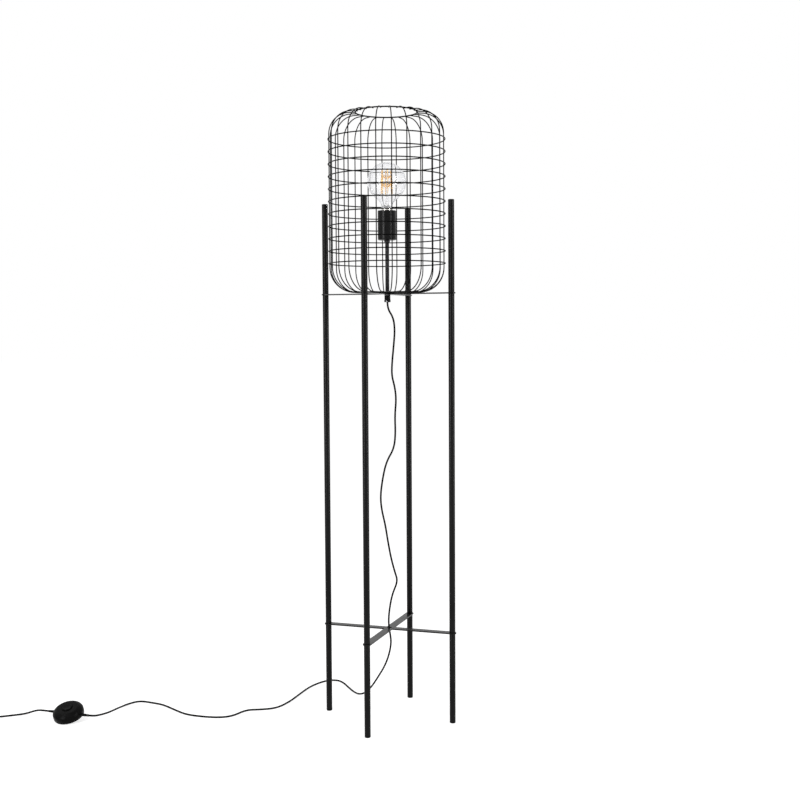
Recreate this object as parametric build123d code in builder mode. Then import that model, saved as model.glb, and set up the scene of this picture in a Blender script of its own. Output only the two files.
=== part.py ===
from build123d import *
import os
from math import cos, pi, radians, sin, sqrt, tan

# Wire cage floor lamp. Millimetres, +Z up, origin on the floor under the middle of the stand.
# +X points to the right leg, -Y to the front leg.
os.makedirs("parts", exist_ok=True)

# ---------------------------------------------------------------- driving dimensions
leg_circle_r = 163.5        # axis of the stand to the axis of each leg
tube_r = 7.5                # leg tube, outside
tube_wall = 1.2
lower_tube_len = 219.0
middle_tube_len = 829.5
upper_tube_len = 220.0
foot_h = 4.0                # glide under the tube
foot_inset = 0.3            # glide is this much slimmer than the tube
cap_h = 3.0                 # plug on top of each leg
plug_depth = 9.0            # how far glides and caps reach into the tubes
press_gap = 0.1             # around a piece pressed into a tube

strip_w = 20.0              # flat bar of the two crosses
strip_t = 3.0
lap_gap = 0.1               # play in the halved joints
cord_hole_r = 6.0           # the cord runs down through the lower cross
screw_r = 3.0               # screws that clamp the bars between the tubes
screw_len = 26.0
screw_head_h = 5.0
nut_h = 8.0
thread_flats = 12           # threaded shanks and bores are plain, with this many flats
bore_flats = 12             # inside of the tubes
hole_gap = 0.3

hoop_r = 142.6              # centre line of the cage's hoops, where they cross the ribs
hoop_wire_d = 2.5
hoop_count = 11
top_hoop_drop = 4.122       # highest hoop below the ribs' upper bends
low_hoop_rise = 10.081      # lowest hoop above the ribs' lower bends
rib_wire_d = 2.3
rib_count = 24
rib_first_angle = 8.9       # turn of the cage against the legs
rib_inner_r = 14.0          # where the ribs end on the hub plate
shoulder_r = 60.0           # bend of each rib at the top and the bottom
shoulder_flats = 4          # flats in each bend of a rib
weld = 0.3                  # how deep crossing wires are welded into each other
ring_r = 74.0               # mouth of the cage
ring_wire_d = 3.0
overall_h = 1500.0

hub_r = 20.0
hub_t = 1.5
rod_r = 5.0                 # threaded tube through the upper cross
rod_bore_r = 3.8
rod_gap = 0.2               # round hole in the upper cross
hex_nut_flats = 14.0
hex_nut_t = 3.0

gland_r = 7.3               # cord grip under the upper cross
gland_len = 16.0
gland_lip_r = 7.9
gland_lip_h = 5.0
gland_floor = 6.5           # part of the grip that holds the cord
grip_screw_r = 1.5
grip_screw_h = 0.8
cord_d = 4.6
wire_d = 2.0                # single supply wires inside the rod
wire_x = 1.5
terminal_x = 8.0            # terminals under the lamp holder's inner body
terminal_size = (5.0, 6.0, 7.0)

cup_r = 22.75               # lamp holder's metal cup
cup_h = 72.0
cup_wall = 1.2
cup_bevel = 2.0
cup_bottom_z = 1188.0
collar_r = 7.0
collar_h = 5.0
insulator_r = 19.5          # lamp holder's inner body
insulator_h = 66.0
insulator_bore_r = 14.4
insulator_bore_depth = 22.0
insulator_web = 24.0
shell_r = 14.2              # thin screw shell
shell_wall = 0.5
shell_h = 18.0
tongue_t = 0.6              # springy middle contact
fit_gap = 0.3

globe_r = 47.5              # round bulb
globe_z = 1329.5
globe_flats = 30
globe_low_angle = -46.0     # where the globe meets the cone from the neck
neck_r = 13.3
glass_wall = 1.2
bulb_cap_r = 13.1
bulb_cap_h = 20.5
bulb_cap_top_z = 1264.0
tip_insulator_h = 3.0
tip_insulator_r = 6.0
tip_r = 4.5
tip_h = 1.5
stem_r = 4.0
stem_h = 34.0
filament_count = 6
filament_d = 1.8
filament_low_r = 15.0
filament_high_r = 10.0
filament_low_z = 1303.0
filament_high_z = 1356.0
carrier_d = 0.8             # wires that hold the filaments
carrier_gap = 0.3
star_t = 1.0

switch_r = 38.0             # round foot switch on the cord
switch_tilt = 20.0          # it leans on its front edge, carried by the stiff cord
switch_x, switch_y = -753.0, -271.5
switch_base_t = 3.0
switch_band_h = 8.0         # upright edge of the cover
switch_dome_h = 12.5
switch_land_r = 16.5
switch_wall = 2.0
switch_flats = 36
button_r = 12.6
button_proud = 2.5
button_bevel = 1.2
button_gap = 0.4
button_flange = 2.4
flange_t = 2.0
button_travel = 3.0
plunger_r = 3.0
module_size = (24.0, 16.0, 12.5)
switch_terminal_x = 19.0
switch_terminal_size = (8.0, 6.0, 7.0)
port_h = 6.5                # height of the cord above the switch's base
relief_len = 20.0
relief_r = 3.7
relief_tip_r = 2.7

coil_r = 31.0               # put-away length of cord, a neat coil in two layers
coil_step = 4.0             # how much each half turn is drawn in
coil_half_turns = 3         # half turns that spiral in, and out again on top
coil_layer = 5.6
coil_z = 3.2
coil_x, coil_y = -958.8, -371.2
cord_z = 2.4                # centre of the cord where it lies on the floor
lead_steps = (0, 8.5, 18.4, 28.3, 35.4)  # plug's lead, to the right of the coil and as far in front
lead_mid_z = 8.0
tie_t = 0.5
tie_w = 4.0
tie_gap = 0.3

plug_relief_len = 26.0
plug_relief_r = 4.2
plug_w = 35.3               # flat two-pin plug
plug_t = 14.0
plug_chamfer_w = 5.0        # bevels along the plug's sides
plug_chamfer_h = 5.0
plug_grip_len = 17.0
plug_taper_len = 19.0
plug_neck_w = 14.0
pin_r = 2.0
pin_len = 19.0
pin_spacing = 18.6

# ---------------------------------------------------------------- heights that follow
lower_cross_z = foot_h + lower_tube_len
middle_tube_z = lower_cross_z + strip_t
upper_cross_z = middle_tube_z + middle_tube_len
upper_tube_z = upper_cross_z + strip_t
leg_top_z = upper_tube_z + upper_tube_len
tube_bore_r = tube_r - tube_wall
leg_angles = {"right": 0, "back": 90, "left": 180, "front": 270}
leg_spots = PolarLocations(leg_circle_r, 4).locations
hub_z = upper_tube_z
hub_top_z = hub_z + hub_t
gland_top_z = upper_cross_z - hex_nut_t
gland_z = gland_top_z - gland_len
rod_bottom_z = gland_z + gland_floor
rod_top_z = cup_bottom_z + cup_wall + hex_nut_t + 3.0
insulator_z = cup_bottom_z + cup_wall
insulator_top_z = insulator_z + insulator_h
bore_floor_z = insulator_top_z - insulator_bore_depth
recess_top_z = bore_floor_z - insulator_web
bulb_cap_z = bulb_cap_top_z - bulb_cap_h
tip_insulator_z = bulb_cap_z - tip_insulator_h
tip_z = tip_insulator_z - tip_h


def square_side(wire_d):
    """Side of a square with the section of a round wire."""
    return wire_d * sqrt(pi) / 2


def stack_rings(base, rings, flats):
    """Solid with flat sides between rings of corners, each ring given by (radius, height)."""
    turns = [2 * pi * i / flats for i in range(flats)]
    corners = [
        [base.from_local_coords((radius * cos(a), radius * sin(a), height)) for a in turns]
        for radius, height in rings
    ]
    faces = [Face(Wire.make_polygon(corners[0])), Face(Wire.make_polygon(corners[-1]))]
    for low, high in zip(corners, corners[1:]):
        for i in range(flats):
            faces.append(Face(Wire.make_polygon([low[i - 1], low[i], high[i], high[i - 1]])))
    return Solid(Shell(faces))


# ---------------------------------------------------------------- legs
tube_sections = {
    "lower": (foot_h, lower_tube_len),
    "middle": (middle_tube_z, middle_tube_len),
    "upper": (upper_tube_z, upper_tube_len),
}
for side, angle in leg_angles.items():
    leg_x, leg_y = leg_circle_r * cos(radians(angle)), leg_circle_r * sin(radians(angle))
    for section, (bottom, length) in tube_sections.items():
        with BuildPart() as tube:
            with BuildSketch(Plane.XY.offset(bottom)):
                with Locations((leg_x, leg_y)):
                    Circle(tube_r)
                    RegularPolygon(tube_bore_r, bore_flats, mode=Mode.SUBTRACT)
            extrude(amount=length)
        tube.part.label = f"{side}_{section}_tube"
        export_step(tube.part, f"parts/{side}_{section}_tube.step")

# glide under each leg, with a six-sided plug that is pressed into the lower tube
with BuildPart() as foot_glides:
    with BuildSketch():
        with Locations(leg_spots):
            Circle(tube_r - foot_inset)
    extrude(amount=foot_h)
    with BuildSketch(Plane.XY.offset(foot_h)):
        with Locations(leg_spots):
            RegularPolygon(tube_bore_r - press_gap, 6)
    extrude(amount=plug_depth)
foot_glides.part.label = "foot_glides"
export_step(foot_glides.part, "parts/foot_glides.step")

with BuildPart() as leg_caps:
    with BuildSketch(Plane.XY.offset(leg_top_z)):
        with Locations(leg_spots):
            Circle(tube_r)
    extrude(amount=cap_h)
    with BuildSketch(Plane.XY.offset(leg_top_z)):
        with Locations(leg_spots):
            RegularPolygon(tube_bore_r - press_gap, 6)
    extrude(amount=-plug_depth)
leg_caps.part.label = "leg_caps"
export_step(leg_caps.part, "parts/leg_caps.step")

# A screw fixed in the foot of one tube goes down through the bar into a nut in the tube below.
for level, bar_z in (("lower", lower_cross_z), ("upper", upper_cross_z)):
    with BuildPart() as screws:
        with BuildSketch(Plane.XY.offset(bar_z + strip_t)):
            with Locations(leg_spots):
                RegularPolygon(tube_bore_r - press_gap, 6)
        extrude(amount=screw_head_h)
        with BuildSketch(Plane.XY.offset(bar_z + strip_t)):
            with Locations(leg_spots):
                RegularPolygon(screw_r, thread_flats)
        extrude(amount=-screw_len)
    screws.part.label = f"{level}_joint_screws"
    export_step(screws.part, f"parts/{level}_joint_screws.step")

    with BuildPart() as nuts:
        with BuildSketch(Plane.XY.offset(bar_z)):
            with Locations(leg_spots):
                RegularPolygon(tube_bore_r - press_gap, 6)
                RegularPolygon(screw_r + hole_gap, thread_flats, mode=Mode.SUBTRACT)
        extrude(amount=-nut_h)
    nuts.part.label = f"{level}_joint_nuts"
    export_step(nuts.part, f"parts/{level}_joint_nuts.step")

# ---------------------------------------------------------------- crosses of halved flat bar
def flat_bar(bar_z, turn, hole_r, notch_z):
    """Bar with round ends over two legs, a middle hole, and a half-depth notch for its partner."""
    with BuildPart() as bar:
        with BuildSketch(Plane.XY.offset(bar_z)):
            with Locations(Rotation(0, 0, turn)):
                SlotCenterToCenter(2 * leg_circle_r, strip_w)
        extrude(amount=strip_t)
        with BuildSketch(Plane.XY.offset(notch_z)):
            with Locations(Rotation(0, 0, turn)):
                Rectangle(strip_w + 2 * lap_gap, strip_w + 2 * lap_gap)
        extrude(amount=strip_t / 2, mode=Mode.SUBTRACT)
        with BuildSketch(Plane.XY.offset(bar_z)):
            Circle(hole_r)
            with Locations(Rotation(0, 0, turn)):
                with Locations((leg_circle_r, 0), (-leg_circle_r, 0)):
                    RegularPolygon(screw_r + hole_gap, thread_flats)
        extrude(amount=strip_t, mode=Mode.SUBTRACT)
    return bar.part


for level, bar_z, hole_r in (
    ("lower", lower_cross_z, cord_hole_r),
    ("upper", upper_cross_z, rod_r + rod_gap),
):
    side_bar = flat_bar(bar_z, 0, hole_r, bar_z + strip_t / 2)
    side_bar.label = f"{level}_cross_side_bar"
    export_step(side_bar, f"parts/{level}_cross_side_bar.step")
    deep_bar = flat_bar(bar_z, 90, hole_r, bar_z)
    deep_bar.label = f"{level}_cross_deep_bar"
    export_step(deep_bar, f"parts/{level}_cross_deep_bar.step")

# ---------------------------------------------------------------- wire cage
hoop_side = square_side(hoop_wire_d)
rib_side = square_side(rib_wire_d)
ring_side = square_side(ring_wire_d)
rib_r = hoop_r - hoop_side / 2 - rib_side / 2 + weld
rib_bottom_z = hub_top_z + rib_side / 2
ring_z = overall_h - ring_side / 2
rib_top_z = ring_z - ring_side / 2 - rib_side / 2 + weld
top_hoop_z = rib_top_z - shoulder_r - top_hoop_drop
low_hoop_z = rib_bottom_z + shoulder_r + low_hoop_rise
hoop_pitch = (top_hoop_z - low_hoop_z) / (hoop_count - 1)


def wire_hoop(centre_r, side, z):
    """Closed hoop with a square section, in short flats that meet at the ribs."""
    with BuildPart() as hoop:
        with BuildSketch(Plane.XY.offset(z)):
            RegularPolygon(centre_r + side / 2, rib_count, rotation=rib_first_angle)
            RegularPolygon(
                centre_r - side / 2, rib_count, rotation=rib_first_angle, mode=Mode.SUBTRACT
            )
        extrude(amount=side / 2, both=True)
    return hoop.part


def shoulder(z, start_angle):
    """Points of one quarter bend of a rib, about a centre at height z."""
    angles = [radians(start_angle + 90 * i / shoulder_flats) for i in range(shoulder_flats + 1)]
    return [(rib_r - shoulder_r + shoulder_r * cos(a), 0, z + shoulder_r * sin(a)) for a in angles]


with BuildPart() as rib:
    with BuildLine() as rib_path:
        Polyline(
            (rib_inner_r, 0, rib_bottom_z),
            *shoulder(rib_bottom_z + shoulder_r, -90),
            *shoulder(rib_top_z - shoulder_r, 0),
            (ring_r - rib_side, 0, rib_top_z),
        )
    with BuildSketch(Plane(origin=rib_path.line @ 0, x_dir=(0, 1, 0), z_dir=(1, 0, 0))):
        Rectangle(rib_side, rib_side)
    sweep(transition=Transition.RIGHT)
with BuildPart() as cage_ribs:
    with PolarLocations(0, rib_count, start_angle=rib_first_angle):
        add(rib.part)
cage_ribs.part.label = "cage_ribs"
export_step(cage_ribs.part, "parts/cage_ribs.step")

one_hoop = wire_hoop(hoop_r, hoop_side, top_hoop_z)
with BuildPart() as cage_hoops:
    with Locations([(0, 0, -step * hoop_pitch) for step in range(hoop_count)]):
        add(one_hoop)
cage_hoops.part.label = "cage_hoops"
export_step(cage_hoops.part, "parts/cage_hoops.step")

cage_top_ring = wire_hoop(ring_r, ring_side, ring_z)
cage_top_ring.label = "cage_top_ring"
export_step(cage_top_ring, "parts/cage_top_ring.step")

with BuildPart() as cage_hub:
    with BuildSketch(Plane.XY.offset(hub_z)):
        RegularPolygon(hub_r, rib_count, rotation=rib_first_angle)
        RegularPolygon(rod_r + hole_gap, thread_flats, mode=Mode.SUBTRACT)
    extrude(amount=hub_t)
cage_hub.part.label = "cage_hub"
export_step(cage_hub.part, "parts/cage_hub.step")

# ---------------------------------------------------------------- rod, nuts and cord grip
with BuildPart() as rod:
    with BuildSketch(Plane.XY.offset(rod_bottom_z)):
        Circle(rod_r)
        RegularPolygon(rod_bore_r, bore_flats, mode=Mode.SUBTRACT)
    extrude(amount=rod_top_z - rod_bottom_z)
rod.part.label = "threaded_rod"
export_step(rod.part, "parts/threaded_rod.step")

with BuildPart() as rod_nuts:
    for nut_z in (gland_top_z, hub_top_z, insulator_z):
        with BuildSketch(Plane.XY.offset(nut_z)):
            RegularPolygon(hex_nut_flats / 2, 6, major_radius=False)
            RegularPolygon(rod_r + hole_gap, thread_flats, mode=Mode.SUBTRACT)
        extrude(amount=hex_nut_t)
rod_nuts.part.label = "rod_nuts"
export_step(rod_nuts.part, "parts/rod_nuts.step")

with BuildPart() as cord_grip:
    with BuildSketch(Plane.XY.offset(gland_z)):
        RegularPolygon(gland_lip_r, globe_flats)
    extrude(amount=gland_lip_h)
    with BuildSketch(Plane.XY.offset(gland_z + gland_lip_h)):
        RegularPolygon(gland_r, globe_flats)
    extrude(amount=gland_len - gland_lip_h)
    with BuildSketch(Plane.XY.offset(rod_bottom_z)):
        RegularPolygon(rod_r + hole_gap, thread_flats)
    extrude(amount=gland_len - gland_floor, mode=Mode.SUBTRACT)
cord_grip.part.label = "cord_grip"
export_step(cord_grip.part, "parts/cord_grip.step")

grip_screw_z = gland_z + gland_lip_h / 2
with BuildPart() as grip_screw:
    with BuildSketch(Plane(origin=(0, -gland_lip_r, grip_screw_z), z_dir=(0, -1, 0))):
        RegularPolygon(grip_screw_r, thread_flats)
    extrude(amount=grip_screw_h)
grip_screw.part.label = "grip_screw"
export_step(grip_screw.part, "parts/grip_screw.step")

# two supply wires run up the rod to terminals under the lamp holder's inner body
terminal_bottom_z = recess_top_z - terminal_size[2]
wire_bend_z = rod_top_z + 2.0
wire_side = square_side(wire_d)
with BuildPart() as supply_wires:
    for sense in (1, -1):
        with BuildLine() as wire_path:
            Polyline(
                (sense * wire_x, 0, rod_bottom_z + 0.5),
                (sense * wire_x, 0, wire_bend_z),
                (sense * terminal_x, 0, wire_bend_z + wire_d),
                (sense * terminal_x, 0, terminal_bottom_z),
            )
        with BuildSketch(Plane(origin=wire_path.line @ 0, x_dir=(1, 0, 0), z_dir=(0, 0, 1))):
            Rectangle(wire_side, wire_side)
        sweep(path=wire_path.line, transition=Transition.RIGHT)
supply_wires.part.label = "supply_wires"
export_step(supply_wires.part, "parts/supply_wires.step")

with BuildPart() as terminals:
    with BuildSketch(Plane.XY.offset(terminal_bottom_z)):
        with Locations((terminal_x, 0), (-terminal_x, 0)):
            Rectangle(terminal_size[0], terminal_size[1])
    extrude(amount=terminal_size[2])
terminals.part.label = "terminals"
export_step(terminals.part, "parts/terminals.step")

# ---------------------------------------------------------------- lamp holder
with BuildPart() as cup_collar:
    with BuildSketch(Plane.XY.offset(cup_bottom_z - collar_h)):
        RegularPolygon(collar_r, globe_flats)
        RegularPolygon(rod_r + hole_gap, thread_flats, mode=Mode.SUBTRACT)
    extrude(amount=collar_h)
cup_collar.part.label = "cup_collar"
export_step(cup_collar.part, "parts/cup_collar.step")

cup_rings = [
    (cup_r - cup_bevel, cup_bottom_z),
    (cup_r, cup_bottom_z + cup_bevel),
    (cup_r, cup_bottom_z + cup_h),
]
cup_outside = stack_rings(Plane.XY, cup_rings, globe_flats)
with BuildPart() as holder_cup:
    add(cup_outside)
    with BuildSketch(Plane.XY.offset(cup_bottom_z + cup_wall)):
        RegularPolygon(cup_r - cup_wall, globe_flats)
    extrude(amount=cup_h, mode=Mode.SUBTRACT)
    with BuildSketch(Plane.XY.offset(cup_bottom_z)):
        RegularPolygon(rod_r + hole_gap, thread_flats)
    extrude(amount=cup_wall, mode=Mode.SUBTRACT)
holder_cup.part.label = "holder_cup"
export_step(holder_cup.part, "parts/holder_cup.step")

with BuildPart() as holder_insulator:
    with BuildSketch(Plane.XY.offset(insulator_z)):
        RegularPolygon(insulator_r, globe_flats)
    extrude(amount=insulator_h)
    with BuildSketch(Plane.XY.offset(insulator_z)):
        RegularPolygon(insulator_bore_r, globe_flats)
    extrude(amount=recess_top_z - insulator_z, mode=Mode.SUBTRACT)
    with BuildSketch(Plane.XY.offset(bore_floor_z)):
        RegularPolygon(insulator_bore_r, globe_flats)
    extrude(amount=insulator_bore_depth, mode=Mode.SUBTRACT)
holder_insulator.part.label = "holder_insulator"
export_step(holder_insulator.part, "parts/holder_insulator.step")

with BuildPart() as screw_shell:
    with BuildSketch(Plane.XY.offset(bore_floor_z)):
        RegularPolygon(shell_r, globe_flats)
        RegularPolygon(shell_r - shell_wall, globe_flats, mode=Mode.SUBTRACT)
    extrude(amount=shell_h)
screw_shell.part.label = "screw_shell"
export_step(screw_shell.part, "parts/screw_shell.step")

# springy tongue that meets the bulb's tip
tongue_top = tip_z - fit_gap - bore_floor_z
with BuildPart() as contact_tongue:
    with BuildSketch(Plane.XZ.offset(-tip_r / 2)):
        with BuildLine():
            Polyline(
                (-11, bore_floor_z),
                (-5.2, bore_floor_z),
                (-2.4, bore_floor_z + tongue_top - tongue_t),
                (tip_r, bore_floor_z + tongue_top - tongue_t),
                (tip_r, bore_floor_z + tongue_top),
                (-2.8, bore_floor_z + tongue_top),
                (-5.6, bore_floor_z + tongue_t),
                (-11, bore_floor_z + tongue_t),
                close=True,
            )
        make_face()
    extrude(amount=tip_r)
contact_tongue.part.label = "contact_tongue"
export_step(contact_tongue.part, "parts/contact_tongue.step")

# ---------------------------------------------------------------- bulb
def globe_rings(wall, spans):
    """Radius and height of rings from the neck up to the pole, a wall's thickness inside."""
    globe = globe_r - wall
    step = (90 - globe_low_angle) / spans
    angles = [radians(globe_low_angle + step * i) for i in range(spans)]
    rounds = [(globe * cos(a), globe_z + globe * sin(a)) for a in angles]
    neck = neck_r - wall
    pole = (globe * sin(radians(step / 4)), globe_z + globe)
    return [(neck, bulb_cap_top_z), (neck + 1.2, bulb_cap_top_z + 9)] + rounds + [pole]


glass_outside = stack_rings(Plane.XY, globe_rings(0, 7), globe_flats)
glass_inside = stack_rings(Plane.XY, globe_rings(glass_wall, 7), globe_flats)
with BuildPart() as bulb_glass:
    add(glass_outside)
    add(glass_inside, mode=Mode.SUBTRACT)
bulb_glass.part.label = "bulb_glass"
export_step(bulb_glass.part, "parts/bulb_glass.step")

with BuildPart() as bulb_cap:
    with BuildSketch(Plane.XY.offset(bulb_cap_z)):
        RegularPolygon(bulb_cap_r, globe_flats)
    extrude(amount=bulb_cap_h)
bulb_cap.part.label = "bulb_screw_cap"
export_step(bulb_cap.part, "parts/bulb_screw_cap.step")

cone = [(tip_insulator_r, tip_insulator_z), (bulb_cap_r - 2.0, bulb_cap_z)]
bulb_tip_insulator = stack_rings(Plane.XY, cone, globe_flats)
bulb_tip_insulator.label = "bulb_tip_insulator"
export_step(bulb_tip_insulator, "parts/bulb_tip_insulator.step")

with BuildPart() as tip_contact:
    with BuildSketch(Plane.XY.offset(tip_z)):
        RegularPolygon(tip_r, thread_flats)
    extrude(amount=tip_h)
tip_contact.part.label = "bulb_tip_contact"
export_step(tip_contact.part, "parts/bulb_tip_contact.step")

with BuildPart() as bulb_stem:
    with BuildSketch(Plane.XY.offset(bulb_cap_top_z)):
        RegularPolygon(neck_r - glass_wall - fit_gap, thread_flats)
    extrude(amount=1.0)
    with BuildSketch(Plane.XY.offset(bulb_cap_top_z)):
        RegularPolygon(stem_r, thread_flats)
    extrude(amount=stem_h)
bulb_stem.part.label = "bulb_stem"
export_step(bulb_stem.part, "parts/bulb_stem.step")

# filaments lean inwards; a wire from the stem carries the foot of each one
stem_top_z = bulb_cap_top_z + stem_h
with BuildPart() as filament:
    with BuildLine() as filament_path:
        Line((filament_low_r, 0, filament_low_z), (filament_high_r, 0, filament_high_z))
    with BuildSketch(Plane(origin=filament_path.line @ 0, z_dir=filament_path.line % 0)):
        RegularPolygon(filament_d / 2, 6)
    sweep()
with BuildPart() as bulb_filaments:
    with PolarLocations(0, filament_count):
        add(filament.part)
bulb_filaments.part.label = "bulb_filaments"
export_step(bulb_filaments.part, "parts/bulb_filaments.step")

with BuildPart() as carrier:
    with BuildLine() as carrier_path:
        Line(
            (stem_r - 1.4, 0, stem_top_z + carrier_d / 2),
            (filament_low_r - filament_d / 2 - carrier_gap, 0, filament_low_z),
        )
    with BuildSketch(Plane(origin=carrier_path.line @ 0, z_dir=carrier_path.line % 0)):
        RegularPolygon(carrier_d / 2, 4)
    sweep()
with BuildPart() as star:
    with BuildSketch(Plane.XY.offset(stem_top_z)):
        RegularPolygon(carrier_d, 6)
    extrude(amount=filament_high_z + carrier_gap - stem_top_z)
    with BuildSketch(Plane.XY.offset(filament_high_z + carrier_gap)):
        RegularPolygon(filament_high_r + carrier_d, filament_count)
    extrude(amount=star_t)
with BuildPart() as bulb_support_wires:
    with PolarLocations(0, filament_count):
        add(carrier.part)
    add(star.part)
bulb_support_wires.part.label = "bulb_support_wires"
export_step(bulb_support_wires.part, "parts/bulb_support_wires.step")

# ---------------------------------------------------------------- foot switch
tilt = radians(switch_tilt)
switch_plane = Plane(
    origin=(switch_x, switch_y, switch_r * sin(tilt)),
    x_dir=(1, 0, 0),
    z_dir=(0, -sin(tilt), cos(tilt)),
)
band_top = switch_base_t + switch_band_h
land_h = band_top + switch_dome_h
module_top = switch_base_t + module_size[2]


def on_switch(x, y, h):
    return switch_plane.from_local_coords((x, y, h))


def switch_level(h):
    """Plane parallel to the switch's base, h above it."""
    return switch_plane.offset(h)


with BuildPart() as switch_base:
    with BuildSketch(switch_plane):
        RegularPolygon(switch_r, switch_flats)
    extrude(amount=switch_base_t)
switch_base.part.label = "switch_base"
export_step(switch_base.part, "parts/switch_base.step")

hole_r = button_r + button_gap
cavity_r = button_r + button_flange + 1.0
dome_rings = [
    (switch_r, switch_base_t),
    (switch_r, band_top),
    (switch_r - 2.6, band_top + 0.36 * switch_dome_h),
    (switch_r - 10.5, band_top + 0.77 * switch_dome_h),
    (switch_land_r, land_h),
]
dome = stack_rings(switch_plane, dome_rings, switch_flats)
with BuildPart() as switch_cover:
    add(dome)
    with BuildSketch(switch_level(switch_base_t)):
        RegularPolygon(switch_r - 2 * switch_wall, switch_flats)
    extrude(amount=band_top - switch_base_t, mode=Mode.SUBTRACT)
    with BuildSketch(switch_level(band_top)):
        RegularPolygon(cavity_r, switch_flats)
    extrude(amount=land_h - switch_wall - band_top, mode=Mode.SUBTRACT)
    with BuildSketch(switch_level(land_h)):
        RegularPolygon(hole_r, switch_flats)
    extrude(amount=-switch_wall, mode=Mode.SUBTRACT)
switch_cover.part.label = "switch_cover"
export_step(switch_cover.part, "parts/switch_cover.step")

with BuildPart() as switch_module:
    with BuildSketch(switch_level(switch_base_t)):
        Rectangle(module_size[0], module_size[1])
    extrude(amount=module_size[2])
    with BuildSketch(switch_level(module_top)):
        RegularPolygon(plunger_r + button_gap, thread_flats)
    extrude(amount=-(button_travel + 3.0), mode=Mode.SUBTRACT)
switch_module.part.label = "switch_module"
export_step(switch_module.part, "parts/switch_module.step")

with BuildPart() as switch_terminals:
    with BuildSketch(switch_level(switch_base_t)):
        with Locations((switch_terminal_x, 0), (-switch_terminal_x, 0)):
            Rectangle(switch_terminal_size[0], switch_terminal_size[1])
    extrude(amount=switch_terminal_size[2])
switch_terminals.part.label = "switch_terminals"
export_step(switch_terminals.part, "parts/switch_terminals.step")

# the button has a flange that keeps it in the cover, and a stem into the switch module
button_top = land_h + button_proud
flange_top = land_h - switch_wall - fit_gap
cap_rings = [
    (button_r, flange_top),
    (button_r, button_top - button_bevel),
    (button_r - button_bevel, button_top),
]
button_cap = stack_rings(switch_plane, cap_rings, switch_flats)
with BuildPart() as switch_button:
    with BuildSketch(switch_level(flange_top - flange_t)):
        RegularPolygon(button_r + button_flange, switch_flats)
    extrude(amount=flange_t)
    add(button_cap)
    with BuildSketch(switch_level(module_top - 1.0)):
        RegularPolygon(plunger_r, thread_flats)
    extrude(amount=flange_top - flange_t - module_top + 1.0)
switch_button.part.label = "switch_button"
export_step(switch_button.part, "parts/switch_button.step")

right_port = Plane(origin=on_switch(switch_r, 0, port_h), z_dir=(1, 0, 0))
left_port = Plane(origin=on_switch(-switch_r, 0, port_h), z_dir=(-1, 0, 0))
relief_rings = [(relief_r, 0), (relief_tip_r, relief_len)]
right_relief = stack_rings(right_port, relief_rings, thread_flats)
left_relief = stack_rings(left_port, relief_rings, thread_flats)
with BuildPart() as switch_reliefs:
    add(right_relief)
    add(left_relief)
switch_reliefs.part.label = "switch_reliefs"
export_step(switch_reliefs.part, "parts/switch_reliefs.step")
cord_in = on_switch(switch_r + relief_len, 0, port_h)
cord_out = on_switch(-switch_r - relief_len, 0, port_h)

# ---------------------------------------------------------------- cord
def cord_radii(points):
    """Arc at each inner point: 0.45 of the shorter run over the tangent of half the turn."""
    spots = [Vector(*p) for p in points]
    runs = [b - a for a, b in zip(spots, spots[1:])]
    return [
        0.45 * min(a.length, b.length) / tan(radians(a.get_angle(b)) / 2)
        for a, b in zip(runs, runs[1:])
    ]


cord_side = square_side(cord_d)      # the tubes are four-sided, with the round cord's section
cord_section = cord_side ** 2


def cord_tube(name, points):
    """Tube along straight runs joined by tangent arcs."""
    radii = cord_radii(points)
    with BuildPart() as tube:
        with BuildLine() as route:
            FilletPolyline(*points, radius=radii)
        with BuildSketch(Plane(origin=route.line @ 0, z_dir=route.line % 0)):
            Rectangle(cord_side, cord_side)
        sweep()
    length = route.wire().length
    print(name, "least radius", round(min(radii), 1), "length", round(length, 1),
          "volume / (section x length)", round(tube.part.volume / cord_section / length, 4))
    tube.part.label = name
    export_step(tube.part, f"parts/{name}.step")


# from the grip down through the lower cross, then along the floor to the switch
lamp_to_switch = [
    (0, 0, gland_z), (0, 0, 1021), (14, 4, 998), (17, 5, 968), (14, 6, 935), (9, 5, 885),
    (8, 6, 855), (15, 8, 828), (19, 7, 797), (16, 4, 757), (18, 3, 712), (14, 2, 675),
    (-4, -4, 643), (-14, -5, 600), (-20, -5, 556), (-18, -2, 522), (-10, 2, 484),
    (-4, 3, 444), (4, 4, 400), (13, 6, 366), (20, 8, 343), (7, 4, 311), (1, 1, 279),
    (-2, -1, 248), (-1, 0, 224), (2, 1, 207), (3, 4, 186), (-5, 11, 155), (-22, 27, 120),
    (-50, 55, 82), (-79, 83, 44), (-108, 110, 17), (-132, 130, 6), (-157, 157, 2.6),
    (-188, 195, cord_z), (-210, 223, cord_z), (-233, 243, cord_z), (-259, 238, cord_z),
    (-277, 205, cord_z), (-287, 158, cord_z), (-287, 95, cord_z), (-286, 28, cord_z),
    (-296, -32, cord_z), (-330, -55, cord_z), (-365, -69, cord_z), (-376, -126, cord_z),
    (-407, -146, cord_z), (-454, -151, cord_z), (-497, -147, cord_z), (-547, -119, cord_z),
    (-589, -95, cord_z), (-625, -89, cord_z), (-664, -85, cord_z), (-680, -119, cord_z),
    (-677, -150, 5.8), (-670, -180, 11.5), (-663.5, -208, 16.2), (-659.7, -237.5, 19.8),
    (-662.8, -257.3, 21), (-670.4, -267.8, 20.5), (cord_in.X + 13, cord_in.Y, cord_in.Z),
    (cord_in.X, cord_in.Y, cord_in.Z),
]
cord_tube("cord_lamp_to_switch", lamp_to_switch)

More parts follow.
